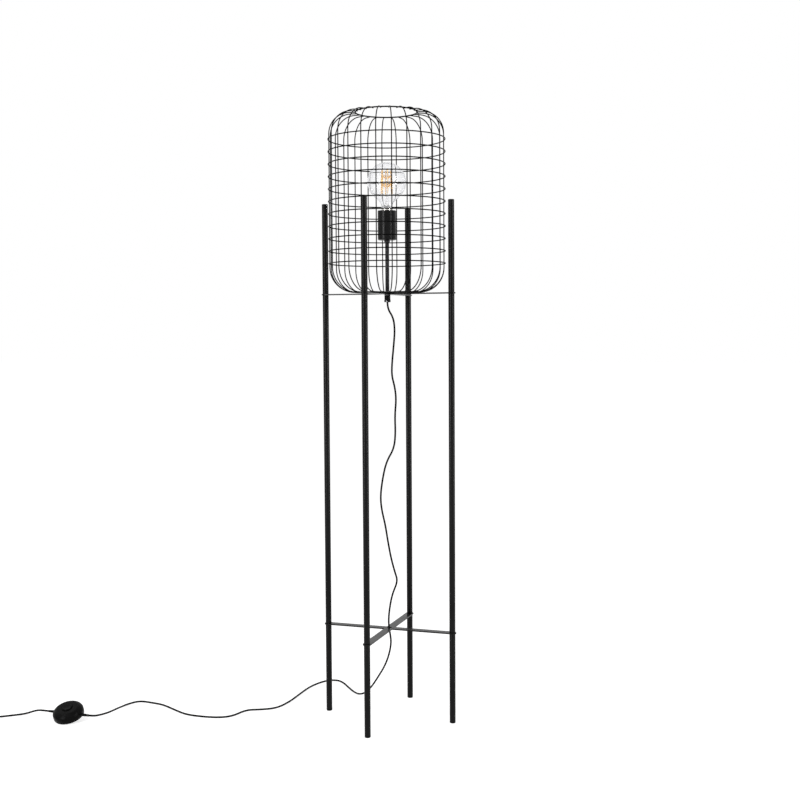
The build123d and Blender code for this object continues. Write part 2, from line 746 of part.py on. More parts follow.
# coil: every half turn ends on the line through the coil's centre, a step further in or out
coil_centre = Vector(coil_x, coil_y, coil_z)
outward = Vector(-1, 1, 0).normalized()
coil_heading = Vector(-1, -1, 0).normalized()
half_count = 2 * coil_half_turns
stop_radii = [coil_r - coil_step * min(k, half_count + 1 - k) for k in range(half_count + 1)]
stops = [
    coil_centre + outward * radius * (-1) ** k + Vector(0, 0, coil_layer * (k > coil_half_turns))
    for k, radius in enumerate(stop_radii)
]
coil_in = stops[0] - coil_heading * cord_d
# a last quarter turn on top lets the plug lie beside the coil
lead_heading = -outward
lead_start = coil_centre + coil_heading * stop_radii[-1] + Vector(0, 0, coil_layer)
coil_out = lead_start + lead_heading * cord_d

# from the switch to the coil, which lies past the edge of the picture
switch_to_coil = [
    (cord_out.X, cord_out.Y, cord_out.Z), (cord_out.X - 15, cord_out.Y, cord_out.Z),
    (-842, -269.5, 17.2), (-860, -266.8, 12.2), (-876, -267.8, 6), (-891, -273.5, 3),
    (-907, -284.5, cord_z), (-922, -297.5, cord_z), (-942, -313.5, 2.8),
    (coil_in.X + 13.75, coil_in.Y + 13.75, coil_z), (coil_in.X, coil_in.Y, coil_in.Z),
]
cord_tube("cord_switch_to_coil", switch_to_coil)

with BuildPart() as cord_coil:
    with BuildLine() as turns:
        Line(coil_in, stops[0])
        for k, (start, end) in enumerate(zip(stops, stops[1:])):
            heading = coil_heading * (-1) ** k
            half_chord = (end - start).length / 2
            middle = (start + end) / 2 + heading * half_chord
            TangentArc(start, middle, tangent=heading)
            TangentArc(middle, end, tangent=(end - start).normalized())
        TangentArc(stops[-1], lead_start, tangent=coil_heading)
        Line(lead_start, coil_out)
    with BuildSketch(Plane(origin=coil_in, x_dir=outward, z_dir=coil_heading)):
        Rectangle(cord_side, cord_side)
    sweep()
cord_coil.part.label = "cord_coil"
export_step(cord_coil.part, "parts/cord_coil.step")

# least gap of the coil to itself, on points that lie more than half a turn apart
coil_wire = turns.wire()
samples = 360
spots = [coil_wire.position_at(i / samples) for i in range(samples + 1)]
apart = int(samples * pi * min(stop_radii) / coil_wire.length)
least_gap = min((b - a).length for i, a in enumerate(spots) for b in spots[i + apart:]) - cord_d
print("coil length", round(coil_wire.length, 1), "least gap", round(least_gap, 2),
      "volume / (section x length)",
      round(cord_coil.part.volume / cord_section / coil_wire.length, 4))

# tie round the bundle, on the side away from both ends
inner_stop, outer_stop = min(stop_radii[1::2]), max(stop_radii[1::2])
bundle_w = outer_stop - inner_stop + cord_d
bundle_h = coil_layer + cord_d
tie_spot = coil_centre - outward * (outer_stop + inner_stop) / 2 + Vector(0, 0, coil_layer / 2)
with BuildPart() as cord_tie:
    with BuildSketch(Plane(origin=tie_spot, x_dir=outward, z_dir=coil_heading)):
        Rectangle(bundle_w + 2 * (tie_gap + tie_t), bundle_h + 2 * (tie_gap + tie_t))
        Rectangle(bundle_w + 2 * tie_gap, bundle_h + 2 * tie_gap, mode=Mode.SUBTRACT)
    extrude(amount=tie_w / 2, both=True)
cord_tie.part.label = "cord_tie"
export_step(cord_tie.part, "parts/cord_tie.step")

# short lead from the coil to the plug
plug_axis_z = plug_t / 2
lead_heights = [coil_out.Z, coil_out.Z, lead_mid_z, plug_axis_z, plug_axis_z]
coil_to_plug = [
    (coil_out.X + step, coil_out.Y - step, height)
    for step, height in zip(lead_steps, lead_heights)
]
cord_tube("cord_coil_to_plug", coil_to_plug)

# ---------------------------------------------------------------- plug
relief_plane = Plane(origin=coil_to_plug[-1], x_dir=coil_heading, z_dir=lead_heading)
body_plane = relief_plane.offset(plug_relief_len)
plug_len = plug_taper_len + plug_grip_len
face_plane = body_plane.offset(plug_len)
plug_relief = stack_rings(
    relief_plane, [(relief_tip_r, 0), (plug_relief_r, plug_relief_len)], thread_flats
)
plug_relief.label = "plug_relief"
export_step(plug_relief, "parts/plug_relief.step")

plug_half_w, neck_half_w = plug_w / 2, plug_neck_w / 2
with BuildPart() as plug_body:
    with BuildSketch(Plane(origin=body_plane.origin, x_dir=coil_heading, z_dir=(0, 0, 1))):
        with BuildLine():
            Polyline(
                (neck_half_w, 0),
                (plug_half_w, plug_taper_len),
                (plug_half_w, plug_len),
                (-plug_half_w, plug_len),
                (-plug_half_w, plug_taper_len),
                (-neck_half_w, 0),
                close=True,
            )
        make_face()
    extrude(amount=plug_t / 2, both=True)
    flanks = plug_body.edges().filter_by(Axis((0, 0, 0), lead_heading))
    chamfer(flanks, length=plug_chamfer_h, length2=plug_chamfer_w)
plug_body.part.label = "plug_body"
export_step(plug_body.part, "parts/plug_body.step")

with BuildPart() as plug_pins:
    with BuildSketch(face_plane):
        with Locations((pin_spacing / 2, 0), (-pin_spacing / 2, 0)):
            Circle(pin_r)
    extrude(amount=pin_len)
plug_pins.part.label = "plug_pins"
export_step(plug_pins.part, "parts/plug_pins.step")
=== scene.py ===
from math import cos, pi, radians, sin

import bmesh
import bpy
import numpy as np
from mathutils import Matrix, Vector


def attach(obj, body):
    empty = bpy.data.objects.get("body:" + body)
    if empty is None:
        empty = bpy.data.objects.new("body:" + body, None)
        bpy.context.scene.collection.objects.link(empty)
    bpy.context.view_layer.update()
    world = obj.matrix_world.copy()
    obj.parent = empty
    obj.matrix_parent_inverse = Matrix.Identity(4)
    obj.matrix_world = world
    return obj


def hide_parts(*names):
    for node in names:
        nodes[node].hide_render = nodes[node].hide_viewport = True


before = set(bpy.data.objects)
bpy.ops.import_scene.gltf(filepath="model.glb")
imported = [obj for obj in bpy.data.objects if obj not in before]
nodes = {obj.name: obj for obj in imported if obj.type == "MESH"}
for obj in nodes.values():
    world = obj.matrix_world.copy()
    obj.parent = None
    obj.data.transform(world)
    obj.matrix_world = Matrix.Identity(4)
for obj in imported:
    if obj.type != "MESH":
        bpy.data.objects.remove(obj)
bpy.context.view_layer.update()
mm = 0.001                      # shapes are worked out in millimetres

# camera: where it stands and how it is turned, with the lamp's own turn added at the end,
# in millimetres for the lens and its sensor, metres for the place, and radians
view = {
    "lens": 54.325, "sensor": 36.0, "place": (0, -2.97775, 0.97426),
    "yaw": 0.00991, "pitch": 0.05999, "roll": -0.0056, "turn": 0.33338,
}


def makeCamera():
    yaw, pitch, roll = view["yaw"], view["pitch"], view["roll"]
    right = Vector((cos(yaw), -sin(yaw), 0))
    ahead = Vector((cos(pitch) * sin(yaw), cos(pitch) * cos(yaw), -sin(pitch)))
    up = Vector((sin(pitch) * sin(yaw), sin(pitch) * cos(yaw), cos(pitch)))
    side = cos(roll) * right + sin(roll) * up
    top = cos(roll) * up - sin(roll) * right
    pose = Matrix((side, top, -ahead)).transposed().to_4x4()
    pose.translation = Vector(view["place"])
    data = bpy.data.cameras.new("photoCamera")
    data.lens, data.sensor_width = view["lens"], view["sensor"]
    data.clip_end = 200
    camera = bpy.data.objects.new("photoCamera", data)
    camera.matrix_world = Matrix.Rotation(view["turn"], 4, "Z") @ pose
    bpy.context.scene.collection.objects.link(camera)
    bpy.context.scene.camera = camera


makeCamera()


# a socket of a material's nodes, which adds and multiplies like a number
class Knob:
    def __init__(self, tree, socket=None):
        self.tree = tree
        self.socket = socket

    # a node of one kind: its settings first, then the values or links of its sockets
    def add(self, kind, settings, inputs, output=0):
        node = self.tree.nodes.new(kind)
        for name, setting in settings.items():
            if name == "stops":
                ramp = node.color_ramp
                while len(ramp.elements) < len(setting):
                    ramp.elements.new(0.5)
                for element, (position, grey) in zip(ramp.elements, setting):
                    element.position = position
                    element.color = (grey, grey, grey, 1)
            else:
                setattr(node, name, setting)
        for name, given in inputs.items():
            if isinstance(given, Knob):
                self.tree.links.new(given.socket, node.inputs[name])
            else:
                node.inputs[name].default_value = given
        return Knob(self.tree, node.outputs[output])

    def count(self, operation, first, second):
        return self.add("ShaderNodeMath", {"operation": operation}, {0: first, 1: second})

    def __add__(self, other):
        return self.count("ADD", self, other)

    def __mul__(self, other):
        return self.count("MULTIPLY", self, other)

    __radd__, __rmul__ = __add__, __mul__

    # colour between two others
    def between(self, low, high):
        return self.add("ShaderNodeMix", {"data_type": "RGBA"}, {0: self, 6: low, 7: high}, 2)

    # patches of noise, scale per metre
    def patches(self, place, scale, detail=2.0):
        inputs = {"Vector": place, "Scale": scale, "Detail": detail, "Roughness": 0.55}
        return self.add("ShaderNodeTexNoise", {}, inputs, 0)

    # noise spread out to the whole of 0 to 1
    def clearPatches(self, place, scale, detail=2.0):
        noise = self.patches(place, scale, detail)
        return self.add("ShaderNodeValToRGB", {"stops": [(0.35, 0), (0.65, 1)]}, {0: noise}, 0)

    def bumps(self, height, strength, distance):
        inputs = {"Strength": strength, "Distance": distance, "Height": height}
        return self.add("ShaderNodeBump", {}, inputs, 0)


# a material whose fixed values go on the shader, and whose varying ones come from a recipe
def makeFinish(name, fixed, recipe):
    material = bpy.data.materials.new(name)
    material.use_nodes = True
    tree = material.node_tree
    shader = tree.nodes["Principled BSDF"]
    for socket, value in fixed.items():
        shader.inputs[socket].default_value = value
    knob = Knob(tree)
    place = knob.add("ShaderNodeTexCoord", {}, {}, "Object")
    for socket, made in recipe(knob, place).items():
        tree.links.new(made.socket, shader.inputs[socket])
    return material


def grey(level):
    return (level, level, level, 1)


# lacquer: a cloudy tone, fine peel, and a roughness that wanders a little
def lacquer(name, look):
    def recipe(knob, place):
        cloud = knob.clearPatches(place, look["cloudScale"])
        peel = knob.patches(place, look["peelScale"], 3.0)
        return {
            "Base Color": cloud.between(look["dark"], look["light"]),
            "Roughness": cloud * look["roughSpread"] + look["rough"],
            "Normal": knob.bumps(peel, look["peel"], 0.0002),
        }
    return makeFinish(name, {"Specular IOR Level": look["shine"]}, recipe)


finishes = {
    "standLacquer": lacquer("standLacquer", {
        "dark": grey(0.0015), "light": grey(0.0035), "rough": 0.22, "roughSpread": 0.08,
        "cloudScale": 16, "peelScale": 700, "peel": 0.05, "shine": 0.11,
    }),
    "cageLacquer": lacquer("cageLacquer", {
        "dark": grey(0.001), "light": grey(0.003), "rough": 0.34, "roughSpread": 0.1,
        "cloudScale": 40, "peelScale": 900, "peel": 0.05, "shine": 0.03,
    }),
    "cupLacquer": lacquer("cupLacquer", {
        "dark": grey(0.001), "light": grey(0.0025), "rough": 0.26, "roughSpread": 0.06,
        "cloudScale": 45, "peelScale": 1100, "peel": 0.05, "shine": 0.16,
    }),
    "mouldedBlack": lacquer("mouldedBlack", {
        "dark": grey(0.002), "light": grey(0.004), "rough": 0.26, "roughSpread": 0.1,
        "cloudScale": 70, "peelScale": 1600, "peel": 0.12, "shine": 0.04,
    }),
    "cordSheath": lacquer("cordSheath", {
        "dark": grey(0.0015), "light": grey(0.0035), "rough": 0.42, "roughSpread": 0.1,
        "cloudScale": 60, "peelScale": 1200, "peel": 0.1, "shine": 0.04,
    }),
    "tieBand": lacquer("tieBand", {
        "dark": grey(0.008), "light": grey(0.016), "rough": 0.6, "roughSpread": 0.2,
        "cloudScale": 900, "peelScale": 1500, "peel": 0.6, "shine": 0.2,
    }),
    "wireSheath": lacquer("wireSheath", {
        "dark": (0.02, 0.08, 0.2, 1), "light": (0.03, 0.1, 0.26, 1), "rough": 0.35,
        "roughSpread": 0.1, "cloudScale": 90, "peelScale": 900, "peel": 0.1, "shine": 0.4,
    }),
    "whiteInsert": lacquer("whiteInsert", {
        "dark": (0.66, 0.64, 0.58, 1), "light": (0.75, 0.73, 0.68, 1), "rough": 0.28,
        "roughSpread": 0.12, "cloudScale": 60, "peelScale": 600, "peel": 0.1, "shine": 0.5,
    }),
}


# bare metal: drawn streaks along one axis and dull patches
def metal(name, look):
    def recipe(knob, place):
        stretched = knob.add(
            "ShaderNodeMapping", {}, {"Vector": place, "Scale": look["streaks"]}, 0
        )
        streak = knob.patches(stretched, 1.0, 4.0)
        dull = knob.clearPatches(place, look["dullScale"])
        return {
            "Base Color": dull.between(look["bright"], look["dim"]),
            "Roughness": dull * look["roughSpread"] + look["rough"],
            "Normal": knob.bumps(streak, look["streakDepth"], 0.0001),
        }
    return makeFinish(name, {"Metallic": 1.0}, recipe)


finishes["zincPlate"] = metal("zincPlate", {
    "bright": (0.6, 0.6, 0.62, 1), "dim": (0.42, 0.42, 0.44, 1), "rough": 0.3,
    "roughSpread": 0.2, "dullScale": 120, "streaks": (300, 300, 1200), "streakDepth": 0.15,
})
finishes["blackZinc"] = metal("blackZinc", {
    "bright": (0.035, 0.035, 0.037, 1), "dim": (0.02, 0.02, 0.021, 1), "rough": 0.3,
    "roughSpread": 0.15, "dullScale": 120, "streaks": (300, 300, 1200), "streakDepth": 0.15,
})
finishes["nickel"] = metal("nickel", {
    "bright": (0.78, 0.76, 0.72, 1), "dim": (0.6, 0.58, 0.55, 1), "rough": 0.16,
    "roughSpread": 0.15, "dullScale": 150, "streaks": (250, 250, 1500), "streakDepth": 0.1,
})
finishes["brass"] = metal("brass", {
    "bright": (0.8, 0.6, 0.28, 1), "dim": (0.55, 0.38, 0.16, 1), "rough": 0.24,
    "roughSpread": 0.2, "dullScale": 140, "streaks": (300, 300, 1300), "streakDepth": 0.12,
})


# blown glass: clear, with a faint waviness in its walls, and painted shade in its colour where it
# is seen edge on, drawn as a dark rim
def bulbGlassFinish():
    def recipe(knob, place):
        wave = knob.patches(place, 22, 1.0)
        haze = knob.clearPatches(place, 35)
        edge = knob.add("ShaderNodeLayerWeight", {}, {"Blend": 0.5}, "Facing")
        return {
            # painted shade: the base colour turns grey towards the rim seen edge on, standing in
            # for the glass's dark outline
            "Base Color": (edge * edge).between((0.98, 0.98, 0.985, 1), (0.74, 0.75, 0.79, 1)),
            "Roughness": haze * 0.01,
            "Normal": knob.bumps(wave, 0.06, 0.002),
        }
    return makeFinish("clearGlass", {"Transmission Weight": 1.0, "IOR": 1.48}, recipe)


finishes["clearGlass"] = bulbGlassFinish()


# filament coating: amber, grainy, a little uneven along its length
def amberFinish():
    def recipe(knob, place):
        grain = knob.clearPatches(place, 900, 3.0)
        return {
            "Base Color": grain.between((0.85, 0.42, 0.05, 1), (0.95, 0.58, 0.14, 1)),
            "Roughness": grain * 0.2 + 0.4,
            "Normal": knob.bumps(grain, 0.3, 0.0002),
        }
    return makeFinish("amberCoating", {}, recipe)


finishes["amberCoating"] = amberFinish()
print("finishes made:", len(finishes))


# grid[i, j] is a point: row i along the shape, point j round it. Four-sided faces join
# neighbours. Rows of a loop close on themselves, and open ends get a middle point and a fan.
def gridPart(grid, loop=False):
    rows, around = grid.shape[:2]
    index = np.arange(rows * around).reshape(rows, around)
    low, high = (index, np.roll(index, -1, 0)) if loop else (index[:-1], index[1:])
    quads = np.stack([low, np.roll(low, -1, 1), np.roll(high, -1, 1), high], -1).reshape(-1, 4)
    points = grid.reshape(-1, 3)
    if loop:
        return points, quads, np.zeros((0, 3), int)
    middle = np.full(around, rows * around)
    fans = np.vstack([
        np.stack([np.roll(index[0], -1), index[0], middle], -1),
        np.stack([index[-1], np.roll(index[-1], -1), middle + 1], -1),
    ])
    return np.vstack([points, grid[[0, -1]].mean(1)]), quads, fans


# six times the volume is the sum of a . (b x c) over the triangles; below zero turns them round
def facingOut(points, quads, fans):
    corners = points[np.vstack([quads[:, :3], quads[:, [0, 2, 3]], fans])]
    volume = np.einsum("ij,ij->", corners[:, 0], np.cross(corners[:, 1], corners[:, 2]))
    return (quads, fans) if volume > 0 else (quads[:, ::-1], fans[:, ::-1])


# one mesh from several parts, with its finish, its body and the nodes it replaces
def makePiece(name, parts, finish, stands=(), body="lamp", sharp=38):
    points, faces, first = [], [], 0
    for part in parts:
        quads, fans = facingOut(*part)
        points.append(part[0])
        faces += (quads + first).tolist() + (fans + first).tolist()
        first += len(part[0])
    mesh = bpy.data.meshes.new(name)
    mesh.from_pydata(np.vstack(points) * mm, [], faces)
    mesh.polygons.foreach_set("use_smooth", np.ones(len(mesh.polygons), bool))
    mesh.set_sharp_from_angle(angle=radians(sharp))
    mesh.materials.append(finishes[finish])
    mesh.update()
    piece = bpy.data.objects.new(name, mesh)
    bpy.context.scene.collection.objects.link(piece)
    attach(piece, body)
    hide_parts(*stands)


# every corner gives way to (1-t)^2 a + 2t(1-t) corner + t^2 b, where a and b lie the radius
# back and on from it, at most 0.45 of the way to its neighbours
def softCorners(outline, radius, steps=4, loop=False):
    outline = np.asarray(outline, float)

    def towards(shift):
        away = np.roll(outline, shift, 0) - outline
        share = radius / np.maximum(np.linalg.norm(away, axis=1), 1e-9)
        return (outline + away * np.minimum(share, 0.45)[:, None])[:, None]

    t = np.linspace(0, 1, steps + 1)[None, :, None]
    corner = outline[:, None]
    curve = (1 - t) ** 2 * towards(1) + 2 * t * (1 - t) * corner + t ** 2 * towards(-1)
    if loop:
        return curve.reshape(-1, 2)
    return np.vstack([outline[:1], curve[1:-1].reshape(-1, 2), outline[-1:]])


# a profile of (radius, height) carried round the Z axis: (radius cos a, radius sin a, height)
def turnedGrid(profile, around):
    radius, height = np.asarray(profile, float).T[:, :, None]
    angle = np.arange(around) * 2 * pi / around
    return np.stack([radius * np.cos(angle), radius * np.sin(angle), height + 0 * angle], -1)


# a turned solid: its profile runs from the axis to the axis, or closes on itself in a loop
def turned(profile, around=64, loop=False):
    return gridPart(turnedGrid(profile, around), loop)


# the part's own axes laid on a place: X along xDir, Z along zDir
def moved(part, origin, xDir=(1, 0, 0), zDir=(0, 0, 1)):
    x, z = np.array(xDir, float), np.array(zDir, float)
    return part[0] @ np.array([x, np.cross(z, x), z]) + np.array(origin), part[1], part[2]


# copies of a part, evenly round the Z axis: the i-th is turned by the first angle + i/count
def spun(part, count, firstAngle=0.0):
    angles = [radians(firstAngle) + 2 * pi * i / count for i in range(count)]
    return [moved(part, (0, 0, 0), (cos(a), sin(a), 0)) for a in angles]


# a round wire along a path of (x, z) points: centre + radius (cos a normal + sin a Y)
def wirePart(path, radius, around=10):
    path = np.asarray(path, float)
    along = np.gradient(path, axis=0)
    along /= np.linalg.norm(along, axis=1)[:, None]
    angle = np.arange(around) * 2 * pi / around
    across = radius * np.cos(angle)
    grid = np.stack([
        path[:, :1] - along[:, 1:] * across,
        np.zeros((len(path), 1)) + radius * np.sin(angle),
        path[:, 1:] + along[:, :1] * across,
    ], -1)
    return gridPart(grid)


# radius less a ridge that climbs one pitch in each turn
def threadGrid(radius, depth, pitch, low, high, around=48, perPitch=8):
    height = np.linspace(low, high, int((high - low) / pitch * perPitch) + 1)[:, None]
    angle = np.arange(around) * 2 * pi / around
    ridge = 0.5 - 0.5 * np.cos(2 * pi * height / pitch - angle)
    fade = np.clip(np.minimum(height - low, high - height) / pitch, 0, 1)
    reach = radius - depth * ridge * fade
    return np.stack([reach * np.cos(angle), reach * np.sin(angle), height + 0 * angle], -1)


# a CAD node's own shape, merged and cleared of needless edges, with soft edges
def softened(name, node, finish, edge):
    mesh = nodes[node].data.copy()
    mesh.name = name
    shape = bmesh.new()
    shape.from_mesh(mesh)
    bmesh.ops.remove_doubles(shape, verts=shape.verts, dist=1e-6)
    bmesh.ops.dissolve_limit(
        shape, angle_limit=radians(1), verts=shape.verts, edges=shape.edges
    )
    bmesh.ops.recalc_face_normals(shape, faces=shape.faces)
    shape.to_mesh(mesh)
    shape.free()
    mesh.materials.clear()
    mesh.materials.append(finishes[finish])
    piece = bpy.data.objects.new(name, mesh)
    bpy.context.scene.collection.objects.link(piece)
    bevel = piece.modifiers.new("softEdges", "BEVEL")
    bevel.width, bevel.segments, bevel.limit_method = edge * mm, 2, "ANGLE"
    bevel.angle_limit = radians(30)
    bevel.harden_normals = True
    mesh.polygons.foreach_set("use_smooth", np.ones(len(mesh.polygons), bool))
    mesh.set_sharp_from_angle(angle=radians(30))
    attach(piece, "lamp")
    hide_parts(node)


# both stretches of cord: how thick it is, and how high its middle lies on the floor
cordLook = {"across": 4.6, "floorZ": 2.4}
floorZ = cordLook["floorZ"]

# from the grip down through the lower cross, then along the floor to the switch
lampRoute = [
    (0, 0, 1036.5), (0, 0, 1021), (14, 4, 998), (17, 5, 968), (14, 6, 935), (9, 5, 885),
    (8, 6, 855), (15, 8, 828), (19, 7, 797), (16, 4, 757), (18, 3, 712), (14, 2, 675),
    (-4, -4, 643), (-14, -5, 600), (-20, -5, 556), (-18, -2, 522), (-10, 2, 484),
    (-4, 3, 444), (4, 4, 400), (13, 6, 366), (20, 8, 343), (7, 4, 311), (1, 1, 279),
    (-2, -1, 248), (-1, 0, 224), (2, 1, 207), (3, 4, 186), (-5, 11, 155), (-22, 27, 120),
    (-50, 55, 82), (-79, 83, 44), (-108, 110, 17), (-132, 130, 6), (-157, 157, 2.6),
    (-188, 195, floorZ), (-210, 223, floorZ), (-233, 243, floorZ), (-259, 238, floorZ),
    (-277, 205, floorZ), (-287, 158, floorZ), (-287, 95, floorZ), (-286, 28, floorZ),
    (-296, -32, floorZ), (-330, -55, floorZ), (-365, -69, floorZ), (-376, -126, floorZ),
    (-407, -146, floorZ), (-454, -151, floorZ), (-497, -147, floorZ), (-547, -119, floorZ),
    (-589, -95, floorZ), (-625, -89, floorZ), (-664, -85, floorZ), (-680, -119, floorZ),
    (-677, -150, 5.8), (-670, -180, 11.5), (-663.5, -208, 16.2), (-659.7, -237.5, 19.8),
    (-662.8, -257.3, 21), (-670.4, -267.8, 20.5), (-682, -273.72, 19.1),
    (-702, -273.72, 19.1),
]

# from the switch to the put-away coil, and on from the coil to the plug
coilRoute = [
    (-811, -273.72, 19.1), (-826, -273.72, 19.1), (-842, -269.5, 17.2), (-860, -266.8, 12.2),
    (-876, -267.8, 6), (-891, -273.5, 3), (-907, -284.5, floorZ), (-922, -297.5, floorZ),
    (-942, -313.5, 2.8), (-963.72, -332.28, 3.2), (-977.47, -346.03, 3.2),
]
plugRoute = [
    (-974.64, -393.54, 8.8), (-966.14, -402.04, 8.8), (-956.24, -411.94, 8),
    (-946.34, -421.84, 7), (-939.24, -428.94, 7),
]
coil = {
    "middle": (-958.8, -371.2, 3.2), "outside": 31.0, "step": 4.0, "halfTurns": 3,
    "layer": 5.6, "perHalf": 12,
}
outward = np.array([-1, 1, 0]) / np.sqrt(2)       # from the coil's middle to its first stop
heading = np.array([-1, -1, 0]) / np.sqrt(2)      # the way the cord runs into the coil
leadWay = -outward                                # the way the plug points


# half turns from stop to stop: middle + (start - middle) cos a + heading half sin a
def coilTurns():
    k = np.arange(2 * coil["halfTurns"] + 1)
    reach = coil["outside"] - coil["step"] * np.minimum(k, len(k) - k)
    stops = np.array(coil["middle"]) + outward * (reach * (-1.0) ** k)[:, None]
    stops[:, 2] += coil["layer"] * (k > coil["halfTurns"])
    start, end = stops[:-1, None], stops[1:, None]
    middle = (start + end) / 2
    half = np.linalg.norm(end - start, axis=2, keepdims=True) / 2
    angle = (np.arange(coil["perHalf"]) + 0.5)[None, :, None] * pi / coil["perHalf"]
    ahead = heading * ((-1.0) ** k[:-1])[:, None, None]
    grow = 1 / cos(pi / coil["perHalf"] / 2)      # the spline cuts inside its points
    turn = (start - middle) * np.cos(angle) + ahead * half * np.sin(angle)
    # a last quarter turn on top, about the coil's own middle
    top = np.array(coil["middle"]) + (0, 0, coil["layer"])
    quarter = (np.arange(coil["perHalf"] // 2)[:, None] + 0.5) * pi / coil["perHalf"]
    last = top + grow * reach[-1] * (outward * np.cos(quarter) + heading * np.sin(quarter))
    return np.vstack([(middle + grow * turn).reshape(-1, 3), last])


# a round tube on a smooth curve, whose pieces are parabolas drawn by the route's points
def makeCord(name, route):
    curve = bpy.data.curves.new(name, "CURVE")
    curve.dimensions = "3D"
    curve.bevel_depth = cordLook["across"] / 2 * mm
    curve.bevel_resolution = 4
    curve.resolution_u = 8
    curve.use_fill_caps = True
    spline = curve.splines.new("NURBS")
    spline.points.add(len(route) - 1)
    points = np.column_stack([np.array(route) * mm, np.ones(len(route))])
    spline.points.foreach_set("co", points.ravel())
    spline.order_u = 3
    spline.use_endpoint_u = True
    curve.materials.append(finishes["cordSheath"])
    piece = bpy.data.objects.new(name, curve)
    bpy.context.scene.collection.objects.link(piece)
    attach(piece, "lamp")
    return piece


lampCord = makeCord("lampCord", lampRoute)
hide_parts("cord_lamp_to_switch")
plugCord = makeCord("plugCord", coilRoute + coilTurns().tolist() + plugRoute)
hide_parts("cord_switch_to_coil", "cord_coil", "cord_coil_to_plug")
print("cords made")

# legs: a wall carried round each leg's axis, with softened rims
leg = {
    "circle": 163.5, "outside": 7.5, "wall": 1.2, "rim": 0.5,
    "sections": {"lower": (4.0, 223.0), "middle": (226.0, 1055.5), "upper": (1058.5, 1278.5)},
    "sides": {"right": 0, "back": 90, "left": 180, "front": 270},
}


def legSpot(angle):
    return leg["circle"] * np.array([cos(radians(angle)), sin(radians(angle)), 0])


def makeLegs():
    for side, angle in leg["sides"].items():
        for section, (low, high) in leg["sections"].items():
            inside = leg["outside"] - leg["wall"]
            wall = [(leg["outside"], low), (leg["outside"], high), (inside, high), (inside, low)]
            part = turned(softCorners(wall, leg["rim"], 3, loop=True), 56, loop=True)
            name = side + section.capitalize() + "Tube"
            makePiece(name, [moved(part, legSpot(angle))], "standLacquer",
                      [f"{side}_{section}_tube"])


makeLegs()

# plugs on top of the legs and glides under them: both reach into the tubes
legEnds = {
    "capLow": 1278.5, "capTop": 1281.5, "glideTop": 4.0, "glideOutside": 7.2, "plug": 6.1,
    "depth": 9.0, "core": 1.0, "softness": 0.5,
}


def makeLegEnds():
    spots = [legSpot(angle) for angle in leg["sides"].values()]
    plug, depth, core = legEnds["plug"], legEnds["depth"], legEnds["core"]
    low, top, wide = legEnds["capLow"], legEnds["capTop"], leg["outside"]
    cap = softCorners([
        (core, low - depth), (plug, low - depth), (plug, low - 0.02), (wide - 0.15, low - 0.02),
        (wide - 0.05, low + 0.6), (wide - 0.05, top - 0.9), (wide - 1.0, top), (core, top),
    ], legEnds["softness"])
    makePiece("legTopPlugs", [moved(turned(cap, 56), spot) for spot in spots], "mouldedBlack",
              ["leg_caps"])
    high, wide = legEnds["glideTop"], legEnds["glideOutside"]
    glide = softCorners([
        (core, 0), (wide - 1.2, 0), (wide, 1.2), (wide, high), (plug, high),
        (plug, high + depth), (core, high + depth),
    ], legEnds["softness"])
    makePiece("footGlides", [moved(turned(glide, 56), spot) for spot in spots], "mouldedBlack",
              ["foot_glides"])


makeLegEnds()

# crosses: the halved flat bars and their fixings, with softened edges
barEdge, fixingEdge = 0.35, 0.2
for level in ("lower", "upper"):
    for way in ("side", "deep"):
        name = level + way.capitalize() + "Bar"
        softened(name, f"{level}_cross_{way}_bar", "standLacquer", barEdge)
    softened(level + "JointScrews", f"{level}_joint_screws", "zincPlate", fixingEdge)
    softened(level + "JointNuts", f"{level}_joint_nuts", "zincPlate", fixingEdge)
print("stand made")

# wire cage
cage = {
    "ribRadius": 140.5, "ribWire": 2.7, "ribFoot": 14.0, "footZ": 1061.02, "topZ": 1496.6,
    "lowBend": 60.0, "topBend": 52.0, "ribEnd": 73.5, "ribs": 24, "firstAngle": 8.9,
    "hoopRadius": 142.7, "hoopWire": 2.9, "hoops": 11, "hoopPitch": 30.14, "topHoopZ": 1432.5,
    "ringRadius": 75.8, "ringWire": 3.4, "ringZ": 1498.3, "beadSize": 1.8, "beadDepth": 1.4,
    "beadLift": 0.1, "hubBore": 5.3, "hubOutside": 20.0, "hubLow": 1058.5, "hubTop": 1060.0,
}


# a rib's line: out along the hub, a quarter bend, up, a quarter bend, in to the mouth
def ribLine():
    wide, lowBend, topBend = cage["ribRadius"], cage["lowBend"], cage["topBend"]
    turn = np.radians(np.linspace(0, 90, 13))
    low = np.stack([wide - lowBend + lowBend * np.sin(turn),
                    cage["footZ"] + lowBend - lowBend * np.cos(turn)], -1)
    high = np.stack([wide - topBend + topBend * np.cos(turn),
                     cage["topZ"] - topBend + topBend * np.sin(turn)], -1)
    straight = np.linspace(low[-1], high[0], 14)[1:-1]
    foot = np.linspace((cage["ribFoot"], cage["footZ"]), low[0], 5)[:-1]
    mouth = np.linspace(high[-1], (cage["ribEnd"], cage["topZ"]), 4)[1:]
    return np.vstack([foot, low, straight, high, mouth])


# a closed ring of round wire: (radius + half the wire cos turn) round Z, half of it sin turn up
def hoopPart(radius, wire, z, around=96, section=10):
    angle = np.arange(around)[:, None] * 2 * pi / around
    turn = np.arange(section)[None, :] * 2 * pi / section
    reach = radius + wire / 2 * np.cos(turn)
    grid = np.stack([
        reach * np.cos(angle), reach * np.sin(angle), z + wire / 2 * np.sin(turn) + 0 * angle,
    ], -1)
    return gridPart(grid, loop=True)


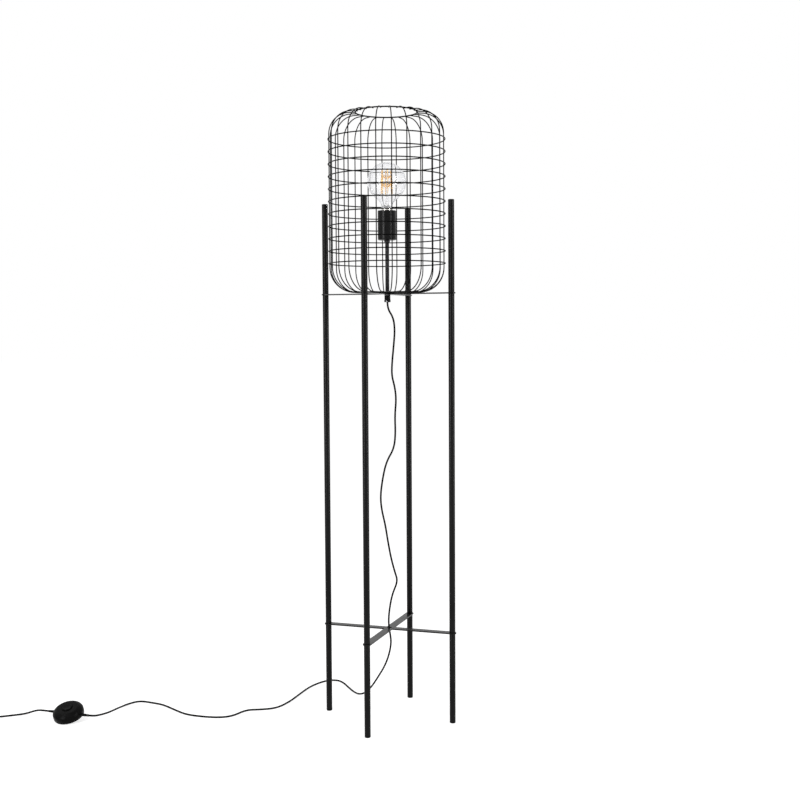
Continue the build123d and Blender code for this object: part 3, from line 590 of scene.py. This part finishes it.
# weld bead: a ball with its poles cut off, flat across and size along the wires
def beadPart(size, flat):
    lift = np.radians(np.linspace(-60, 60, 4))
    turn = np.arange(8) * 2 * pi / 8
    grid = np.stack([
        flat * np.cos(lift)[:, None] * np.cos(turn),
        size * np.cos(lift)[:, None] * np.sin(turn),
        size * np.sin(lift)[:, None] + 0 * turn,
    ], -1)
    return gridPart(grid)


def makeCage():
    rib = wirePart(ribLine(), cage["ribWire"] / 2)
    makePiece("cageRibs", spun(rib, cage["ribs"], cage["firstAngle"]), "cageLacquer",
              ["cage_ribs"])
    heights = [cage["topHoopZ"] - i * cage["hoopPitch"] for i in range(cage["hoops"])]
    hoops = [hoopPart(cage["hoopRadius"], cage["hoopWire"], z) for z in heights]
    seam = (cage["ribRadius"] + cage["hoopRadius"]) / 2 + cage["beadLift"]
    bead = beadPart(cage["beadSize"], cage["beadDepth"])
    beads = [
        part for z in heights
        for part in spun(moved(bead, (seam, 0, z)), cage["ribs"], cage["firstAngle"])
    ]
    makePiece("cageHoops", hoops + beads, "cageLacquer", ["cage_hoops"])
    ring = hoopPart(cage["ringRadius"], cage["ringWire"], cage["ringZ"], 96, 14)
    makePiece("cageRing", [ring], "cageLacquer", ["cage_top_ring"])
    bore, wide, low, top = (cage[k] for k in ("hubBore", "hubOutside", "hubLow", "hubTop"))
    plate = softCorners([(bore, low), (wide, low), (wide, top), (bore, top)], 0.3, 3, loop=True)
    makePiece("cageHub", [turned(plate, 72, loop=True)], "cageLacquer", ["cage_hub"])


makeCage()
print("cage made")

# threaded rod, its nuts, and the collar under the lamp holder
rod = {
    "outside": 5.0, "bore": 3.8, "low": 1043.0, "high": 1195.2, "pitch": 1.0, "depth": 0.3,
    "nutEdge": 0.5, "collarBore": 5.3, "collar": 7.0, "collarLow": 1183.0, "collarTop": 1188.0,
}


def makeRod():
    skin = threadGrid(rod["outside"], rod["depth"], rod["pitch"], rod["low"], rod["high"], 40, 6)
    tunnel = turnedGrid([(rod["bore"], rod["high"]), (rod["bore"], rod["low"])], 40)
    makePiece("hangingRod", [gridPart(np.concatenate([skin, tunnel]), loop=True)], "blackZinc",
              ["threaded_rod"], sharp=80)
    softened("rodNuts", "rod_nuts", "blackZinc", rod["nutEdge"])
    bore, wide, low, top = (rod[k] for k in ("collarBore", "collar", "collarLow", "collarTop"))
    collar = softCorners([
        (bore, low), (wide - 0.6, low), (wide, low + 0.8), (wide, top), (bore, top),
    ], 0.4, 3, loop=True)
    makePiece("cupCollar", [turned(collar, 56, loop=True)], "blackZinc", ["cup_collar"])


makeRod()

# cord grip under the upper cross, with its small screw
grip = {
    "low": 1036.5, "top": 1052.5, "lip": 7.9, "body": 7.3, "lipHeight": 5.0, "cordHole": 2.4,
    "rodHole": 5.3, "floor": 9.0, "screwZ": 1039.0,
}


def makeGrip():
    low, top, lip, body = (grip[k] for k in ("low", "top", "lip", "body"))
    cordHole, rodHole, floor = grip["cordHole"], grip["rodHole"], low + grip["floor"]
    lipTop = low + grip["lipHeight"]
    profile = softCorners([
        (cordHole, floor), (cordHole, low + 1.2), (cordHole + 1.0, low), (lip - 0.8, low),
        (lip, low + 0.8), (lip, lipTop), (body, lipTop + 0.6), (body, top - 1.0),
        (body - 1.0, top), (rodHole, top), (rodHole, floor),
    ], 0.4, 3, loop=True)
    makePiece("cordGrip", [turned(profile, 64, loop=True)], "mouldedBlack",
              ["cord_grip"])
    # screw: a rounded head, laid on the grip's front
    head = softCorners([(0.2, 1.0), (1.3, 0.75), (1.5, 0.3), (1.5, -0.8), (0.2, -0.8)], 0.3, 3)
    screw = moved(turned(head[::-1], 24), (0, -lip, grip["screwZ"]), (1, 0, 0), (0, -1, 0))
    makePiece("gripScrew", [screw], "zincPlate", ["grip_screw"])


makeGrip()

# lamp holder
holder = {
    "cup": 22.75, "cupLow": 1188.0, "cupRim": 1259.6, "cupWall": 0.9, "bevel": 2.0,
    "cupHole": 5.3, "cupFloor": 1.2, "insert": 19.5, "insertLow": 1189.2,
    "insertTop": 1255.2, "bore": 14.4, "boreFloor": 1233.2, "recessTop": 1209.2,
    "shell": 14.2, "shellInside": 13.9, "shellTop": 1251.2, "thread": 3.6286,
    "threadDepth": 0.22,
}


def makeHolder():
    wide, low, rim, bevel = (holder[k] for k in ("cup", "cupLow", "cupRim", "bevel"))
    inner, hole, floor = wide - holder["cupWall"], holder["cupHole"], low + holder["cupFloor"]
    cup = softCorners([
        (hole, low), (wide - bevel, low), (wide, low + bevel), (wide, rim), (inner, rim),
        (inner, low + bevel), (wide - bevel - 0.4, floor), (hole, floor),
    ], 0.7, 4, loop=True)
    makePiece("holderCup", [turned(cup, 96, loop=True)], "cupLacquer", ["holder_cup"])
    insert, bore, boreFloor = holder["insert"], holder["bore"], holder["boreFloor"]
    low, top, recess = holder["insertLow"], holder["insertTop"], holder["recessTop"]
    body = softCorners([
        (1, recess), (bore, recess), (bore, low), (insert, low), (insert, top), (bore, top),
        (bore, boreFloor), (1, boreFloor),
    ], 0.8, 3)
    makePiece("holderInsert", [turned(body, 72)], "whiteInsert",
              ["holder_insulator"])
    shell, shellLow, shellTop = holder["shell"], boreFloor + 0.1, holder["shellTop"]
    inside = threadGrid(holder["shellInside"], holder["threadDepth"], holder["thread"],
                        shellLow, shellTop, 64, 10)
    outside = turnedGrid([(shell, shellTop), (shell, shellLow)], 64)
    makePiece("screwShell", [gridPart(np.concatenate([inside, outside]), loop=True)], "brass",
              ["screw_shell"], sharp=60)
    softened("middleTongue", "contact_tongue", "brass", 0.15)
    softened("holderTerminals", "terminals", "brass", 0.4)


makeHolder()
print("holder made")

# bulb
bulb = {
    "globe": 47.5, "middle": 1329.5, "lowAngle": -46.0, "neck": 13.3, "neckLow": 1264.0,
    "straight": 4.0, "lowPull": 13.0, "highPull": 14.0, "topAngle": 88.0, "glass": 0.7,
    "cap": 13.1, "capLow": 1243.5, "capTop": 1264.0, "capThread": 0.5, "end": 11.1,
    "tip": 4.5, "tipLow": 1239.0, "tipTop": 1240.5,
}


# neck to globe: a cubic curve that leaves the neck upright and meets the globe along its line
def glassLine(wall):
    globe, neck, start = bulb["globe"] - wall, bulb["neck"] - wall, radians(bulb["lowAngle"])
    meet = np.array([globe * cos(start), bulb["middle"] + globe * sin(start)])
    away = np.array([-sin(start), cos(start)])
    t = np.linspace(0, 1, 16)[:-1, None]
    low = np.array([neck, bulb["neckLow"] + bulb["straight"]])
    curve = ((1 - t) ** 3 * low + 3 * t * (1 - t) ** 2 * (low + (0, bulb["lowPull"]))
             + 3 * t ** 2 * (1 - t) * (meet - bulb["highPull"] * away) + t ** 3 * meet)
    angle = np.linspace(start, radians(bulb["topAngle"]), 40)[:, None]
    dome = np.hstack([globe * np.cos(angle), bulb["middle"] + globe * np.sin(angle)])
    return np.vstack([[(neck, bulb["neckLow"])], curve, dome])


def makeBulb():
    outside, inside = glassLine(0), glassLine(bulb["glass"])
    wall = np.vstack([outside[::-1], inside])
    makePiece("bulbGlobe", [turned(wall, 96)], "clearGlass", ["bulb_glass"],
              "bulb", sharp=120)
    stem = softCorners([
        (11.9, 1264.4), (11.6, 1266.2), (8.4, 1269.5), (5.2, 1275), (4.0, 1283), (3.7, 1293),
        (2.6, 1297.6), (0.6, 1298),
    ], 2.5, 5)
    makePiece("bulbMount", [turned(stem, 48)], "clearGlass", ["bulb_stem"],
              "bulb", sharp=120)
    # screw cap: rolled thread between a plain neck and a drawn-in end
    cap, capLow, capTop, end = (bulb[k] for k in ("cap", "capLow", "capTop", "end"))
    thread = threadGrid(cap, bulb["capThread"], holder["thread"], capLow + 2.4, capTop - 4.2,
                        64, 10)
    low = turnedGrid(softCorners(
        [(end, capLow), (end + 0.7, capLow + 0.4), (cap - 0.3, capLow + 2.2)], 0.4, 3), 64)
    top = turnedGrid(softCorners(
        [(cap, capTop - 4), (cap, capTop - 0.3), (cap - 0.5, capTop)], 0.3, 3), 64)
    makePiece("bulbCap", [gridPart(np.concatenate([low, thread, top]))], "nickel",
              ["bulb_screw_cap"], "bulb", sharp=60)
    tip, tipLow, tipTop = bulb["tip"], bulb["tipLow"], bulb["tipTop"]
    disc = softCorners(
        [(6, tipTop), (6.6, tipTop + 0.1), (end, capLow - 0.1), (6, capLow)], 0.5, 3)
    makePiece("bulbTipInsulator", [turned(disc, 48)], "mouldedBlack",
              ["bulb_tip_insulator"], "bulb")
    button = softCorners([
        (0.4, tipLow), (3.2, tipLow + 0.1), (tip, tipTop - 0.5), (tip, tipTop), (0.4, tipTop),
    ], 0.5, 3)
    makePiece("bulbTip", [turned(button, 32)], "nickel", ["bulb_tip_contact"],
              "bulb_tip")


makeBulb()

# filaments, their leads from the mount, and the star wires between them
filament = {
    "count": 6, "wire": 1.8, "low": (14.6, 1300.5), "high": (12.8, 1358.5), "lead": 0.8,
    "foot": (2.0, 1297.4), "post": 0.6, "postLow": 1297.0, "top": 1359.4,
    "stars": {"upperStar": 1342.0, "lowerStar": 1321.0}, "starWire": 0.75, "starMiddle": 8.2,
    "starReach": 3.0, "starRise": 4.0, "starTurn": 0.7, "starSteps": 12,
}


def makeFilaments():
    low, high = np.array(filament["low"]), np.array(filament["high"])
    stick = wirePart(np.linspace(low, high, 8), filament["wire"] / 2, 12)
    count = filament["count"]
    makePiece("filaments", spun(stick, count), "amberCoating",
              ["bulb_filaments"], "bulb")
    foot, top, wire = filament["foot"], filament["top"], filament["lead"] / 2
    lead = wirePart(softCorners([foot, (7, foot[1] + 0.2), (low[0], low[1] - 0.4)], 4, 5), wire, 8)
    post = wirePart(np.linspace((0, filament["postLow"]), (0, top), 6), filament["post"], 8)
    arm = wirePart(softCorners([(0.3, top + 1.2), (6, top + 0.6), tuple(high)], 3, 4), wire, 8)
    makePiece("filamentWires", spun(lead, count) + [post] + spun(arm, count), "nickel",
              ["bulb_support_wires"], "bulb")
    # star: a coated wire that runs up and out, down and in, between the filaments, with a
    # triangle wave from -1 to 1 as its sway
    steps = filament["starSteps"] * count
    turn = np.arange(steps) * 2 * pi / steps
    side = np.stack([np.cos(turn), np.sin(turn), 0 * turn], -1)
    around = np.arange(8)[None, :, None] * pi / 4
    sway = 2 / pi * np.arcsin(np.sin(turn * count + filament["starTurn"]))
    reach = filament["starMiddle"] + filament["starReach"] * sway
    ring = side[:, None] * np.cos(around) + np.array([0, 0, 1.0]) * np.sin(around)
    for name, z in filament["stars"].items():
        spot = side * reach[:, None] + np.array([0, 0, z])
        spot[:, 2] += filament["starRise"] * sway
        skin = spot[:, None] + filament["starWire"] * ring
        makePiece(name, [gridPart(skin, loop=True)], "amberCoating", body="bulb")


makeFilaments()
print("bulb made")

# a strain relief's outline: its radius grows evenly along it, less a groove once a pitch
def reliefLine(relief):
    along = np.linspace(relief["start"], relief["end"], relief["steps"])
    grooved = (along > relief["plain"]) * (along < relief["length"] - relief["plain"])
    groove = relief["groove"] * (np.cos(along * 2 * pi / relief["pitch"]) > 0.35) * grooved
    radius = relief["root"] + relief["grow"] * along / relief["length"]
    return np.stack([radius - groove, along], -1)


cordMouth = 2.45                # radius of a relief's end, round the cord

# foot switch, on a plane that leans back
tilt = radians(20)
switch = {
    "place": (-753.0, -271.5, 12.997), "lean": (0, -sin(tilt), cos(tilt)),
    "radius": 38.0, "inside": 34.0, "base": 3.0, "band": 11.0, "land": 23.5,
    "landRadius": 16.5, "domeFrom": 4, "domeTo": 66, "domeSteps": 72, "rings": 16,
    "ringDepth": 0.35, "ringedFrom": 22, "ringedTo": 63, "hole": 13.0, "well": 16.2,
    "wellLow": 11.2, "button": 12.6, "buttonTop": 26.0, "flange": 15.0, "flangeLow": 19.2,
    "flangeTop": 21.2, "plunger": 3.0, "plungerLow": 14.6, "port": 6.5,
}
switchRelief = {
    "length": 20.0, "start": -2.0, "end": 20.0, "steps": 67, "plain": 2.5, "root": 3.7,
    "grow": -1.0, "groove": 0.45, "pitch": 3.2,
}


def onSwitch(part):
    return moved(part, switch["place"], zDir=switch["lean"])


# cover: an upright band, then a dome with shallow rings, and a rounded hole for the button.
# The dome's radius falls with cos t, and its height rises with sin t, to the land at its top.
def coverLine():
    wide, land, landRadius = switch["radius"], switch["land"], switch["landRadius"]
    band, hole, well = switch["band"], switch["hole"], switch["well"]
    turn = np.radians(np.linspace(switch["domeFrom"], switch["domeTo"], switch["domeSteps"]))
    rise = (land - band) / np.sin(turn[-1])
    dome = np.stack([landRadius + (wide - landRadius) * np.cos(turn) ** 0.9,
                     band + rise * np.sin(turn)], -1)
    ringed = (turn > radians(switch["ringedFrom"])) * (turn < radians(switch["ringedTo"]))
    dome[:, 1] -= switch["ringDepth"] * ringed * np.sin(turn * switch["rings"]) ** 2
    outside = np.vstack([[(wide, switch["base"]), (wide, band)], dome,
                         [(landRadius + 2, land + 0.1), (hole + 0.9, land)]])
    inside = [(hole, land - 0.9), (hole, land - 2.0), (well, land - 2.2),
              (well, switch["wellLow"]), (switch["inside"], switch["wellLow"] - 0.4),
              (switch["inside"], switch["base"])]
    return softCorners(np.vstack([outside, inside]), 0.7, 2, loop=True)


# button: a plunger, a flange that the cover holds back, and a slightly hollow top
def buttonLine():
    wide, top, flange = switch["button"], switch["buttonTop"], switch["flange"]
    plunger, flangeLow, flangeTop = switch["plunger"], switch["flangeLow"], switch["flangeTop"]
    return softCorners([
        (1, switch["plungerLow"]), (plunger, switch["plungerLow"]), (plunger, flangeLow),
        (flange, flangeLow), (flange, flangeTop), (wide, flangeTop), (wide, top - 1.2),
        (wide - 1.2, top), (6, top - 0.7), (1, top - 0.9),
    ], 0.9, 4)


def makeSwitch():
    edge, thick = switch["radius"] - 0.4, switch["base"] - 0.1
    base = softCorners([(1, 0), (edge - 2.0, 0), (edge, 1.0), (edge, thick), (1, thick)], 0.8, 4)
    makePiece("switchBase", [onSwitch(turned(base, 96))], "mouldedBlack",
              ["switch_base"])
    makePiece("switchCover", [onSwitch(turned(coverLine(), 96, loop=True))], "mouldedBlack",
              ["switch_cover"], sharp=50)
    makePiece("pressButton", [onSwitch(turned(buttonLine(), 72))], "mouldedBlack",
              ["switch_button"], "button")
    # reliefs: one on each side, level with the floor
    mouth = [(cordMouth, switchRelief["length"])]
    sleeve = turned(np.vstack([reliefLine(switchRelief), mouth]), 32)
    port = np.array([0, -switch["port"] * sin(tilt), switch["port"] * cos(tilt)])
    for name, way in (("sleeveIn", 1), ("sleeveOut", -1)):
        spot = np.array(switch["place"]) + port + np.array([way * switch["radius"], 0, 0])
        makePiece(name, [moved(sleeve, spot, (0, way, 0), (way, 0, 0))], "cordSheath",
                  ["switch_reliefs"])
    softened("switchInsides", "switch_module", "mouldedBlack", 0.6)
    softened("switchContacts", "switch_terminals", "brass", 0.5)


makeSwitch()
print("switch made")

# plug, with its relief on the end of the cord
plug = {
    "reliefPlace": (-939.24, -428.94, 7.0), "face": (-895.4, -472.78, 7.0), "edge": 1.2,
    "pin": 2.0, "slimShare": 0.95, "slimLength": 10.0, "pinLength": 19.0, "pinRoot": -2.0,
    "apart": 18.6,
}
plugRelief = {
    "length": 26.0, "start": -1.0, "end": 27.5, "steps": 84, "plain": 2.5, "root": 2.7,
    "grow": 1.5, "groove": 0.5, "pitch": 3.6,
}


def makePlug():
    mouth = [(cordMouth, plugRelief["start"])]
    relief = turned(np.vstack([mouth, reliefLine(plugRelief)]), 32)
    makePiece("plugSleeve", [moved(relief, plug["reliefPlace"], heading, leadWay)],
              "cordSheath", ["plug_relief"])
    softened("plugBody", "plug_body", "mouldedBlack", plug["edge"])
    # pin: a slimmer root, then the full pin with a rounded end
    pin, slim, root = plug["pin"], plug["pin"] * plug["slimShare"], plug["pinRoot"]
    step, tip = plug["slimLength"], plug["pinLength"]
    line = softCorners([
        (0.2, root), (slim, root), (slim, step), (pin, step + 0.1), (pin, tip - 1.4),
        (1.1, tip), (0.2, tip),
    ], 0.4, 3)
    pins = [
        moved(turned(line, 28), np.array(plug["face"]) + heading * side * plug["apart"] / 2,
              heading, leadWay)
        for side in (1, -1)
    ]
    makePiece("plugPins", pins, "nickel", ["plug_pins"])


makePlug()

# tie round the coil
tie = {"thick": 0.5, "wide": 4.0, "gap": 0.3, "innerBend": 2.4, "outerBend": 2.8}


# a flat band round the bundle: the outline's inner and outer lines carried across its width
def makeTie():
    low = coil["outside"] - coil["step"] * coil["halfTurns"]
    high = coil["outside"] - coil["step"]
    reach = (high - low + cordLook["across"]) / 2 + tie["gap"]
    rise = (coil["layer"] + cordLook["across"]) / 2 + tie["gap"]
    box = np.array([(reach, rise), (-reach, rise), (-reach, -rise), (reach, -rise)])
    inner = softCorners(box, tie["innerBend"], 6, loop=True)
    grown = box * (1 + tie["thick"] / np.array([reach, rise]))
    outer = softCorners(grown, tie["outerBend"], 6, loop=True)
    half = tie["wide"] / 2
    rows = [(inner, -half), (outer, -half), (outer, half), (inner, half)]
    grid = np.stack([np.column_stack([line, np.full(len(line), z)]) for line, z in rows])
    spot = (np.array(coil["middle"]) - outward * (low + high) / 2
            + np.array([0, 0, coil["layer"] / 2]))
    part = moved(gridPart(grid, loop=True), spot, outward, heading)
    makePiece("coilTie", [part], "tieBand", ["cord_tie"])


makeTie()
print("plug and tie made")

# the supply wires stay as the CAD made them, with a finish of their own
wireLayers = nodes["supply_wires"].data.materials
wireLayers.clear()
wireLayers.append(finishes["wireSheath"])

# stage: floor, lamps and a white surround, in metres, watts and degrees
stage = {
    "floorSize": 60.0, "floorLift": 0.67, "floorTone": 0.8, "floorRough": 0.9,
    "surround": 0.35, "sun": 0.3, "sunSpread": 40, "sunTurn": (30, -18), "aim": (0, 0, 0.9),
    "lamps": {
        "softLeft": {"place": (-1.5, -3.0, 1.4), "size": (0.6, 2.6), "power": 68},
        "softRight": {"place": (3.0, -0.7, 1.4), "size": (0.5, 2.6), "power": 58},
    },
}


# white where nothing shades it: a plain diffuse floor, plus a lift that lights nothing else
def makeFloor():
    mesh = bpy.data.meshes.new("floor")
    half = stage["floorSize"] / 2
    corners = [(-half, -half, 0), (half, -half, 0), (half, half, 0), (-half, half, 0)]
    mesh.from_pydata(corners, [], [(0, 1, 2, 3)])
    material = bpy.data.materials.new("paleFloor")
    material.use_nodes = True
    tree = material.node_tree
    shader = tree.nodes["Principled BSDF"]
    shader.inputs["Base Color"].default_value = grey(stage["floorTone"])
    shader.inputs["Roughness"].default_value = stage["floorRough"]
    shader.inputs["Specular IOR Level"].default_value = 0.0
    shader.inputs["Emission Color"].default_value = (1, 1, 1, 1)
    knob = Knob(tree)
    seen = seenDirectly(knob)
    tree.links.new((seen * stage["floorLift"]).socket, shader.inputs["Emission Strength"])
    mesh.materials.append(material)
    floor = bpy.data.objects.new("floor", mesh)
    bpy.context.scene.collection.objects.link(floor)


# 1 for rays from the camera, in reflections and through glass, and 0 for the rest
def seenDirectly(knob):
    rays = [knob.add("ShaderNodeLightPath", {}, {}, name)
            for name in ("Is Camera Ray", "Is Glossy Ray", "Is Transmission Ray")]
    return knob.count("MINIMUM", rays[0] + rays[1] + rays[2], 1.0)


def makeSurround():
    world = bpy.data.worlds.new("whiteSurround")
    bpy.context.scene.world = world
    world.use_nodes = True
    tree = world.node_tree
    shader = tree.nodes["Background"]
    shader.inputs["Color"].default_value = (1, 1, 1, 1)
    knob = Knob(tree)
    seen = seenDirectly(knob)
    strength = seen * (1 - stage["surround"]) + stage["surround"]
    tree.links.new(strength.socket, shader.inputs["Strength"])


# even light on the whole floor
def makeSun():
    data = bpy.data.lights.new("evenSun", "SUN")
    data.energy, data.angle = stage["sun"], radians(stage["sunSpread"])
    sun = bpy.data.objects.new("evenSun", data)
    sun.rotation_euler = (*np.radians(stage["sunTurn"]), 0)
    bpy.context.scene.collection.objects.link(sun)


# a tall soft lamp, turned to face the aim
def makeLamp(name, look):
    data = bpy.data.lights.new(name, "AREA")
    data.shape = "RECTANGLE"
    data.size, data.size_y = look["size"]
    data.energy = look["power"]
    lamp = bpy.data.objects.new(name, data)
    lamp.location = look["place"]
    ahead = Vector(stage["aim"]) - Vector(look["place"])
    lamp.rotation_euler = ahead.to_track_quat("-Z", "Y").to_euler()
    bpy.context.scene.collection.objects.link(lamp)


makeFloor()
makeSurround()
makeSun()
for name, look in stage["lamps"].items():
    makeLamp(name, look)
bpy.context.scene.view_settings.view_transform = "Standard"
print("stage made")
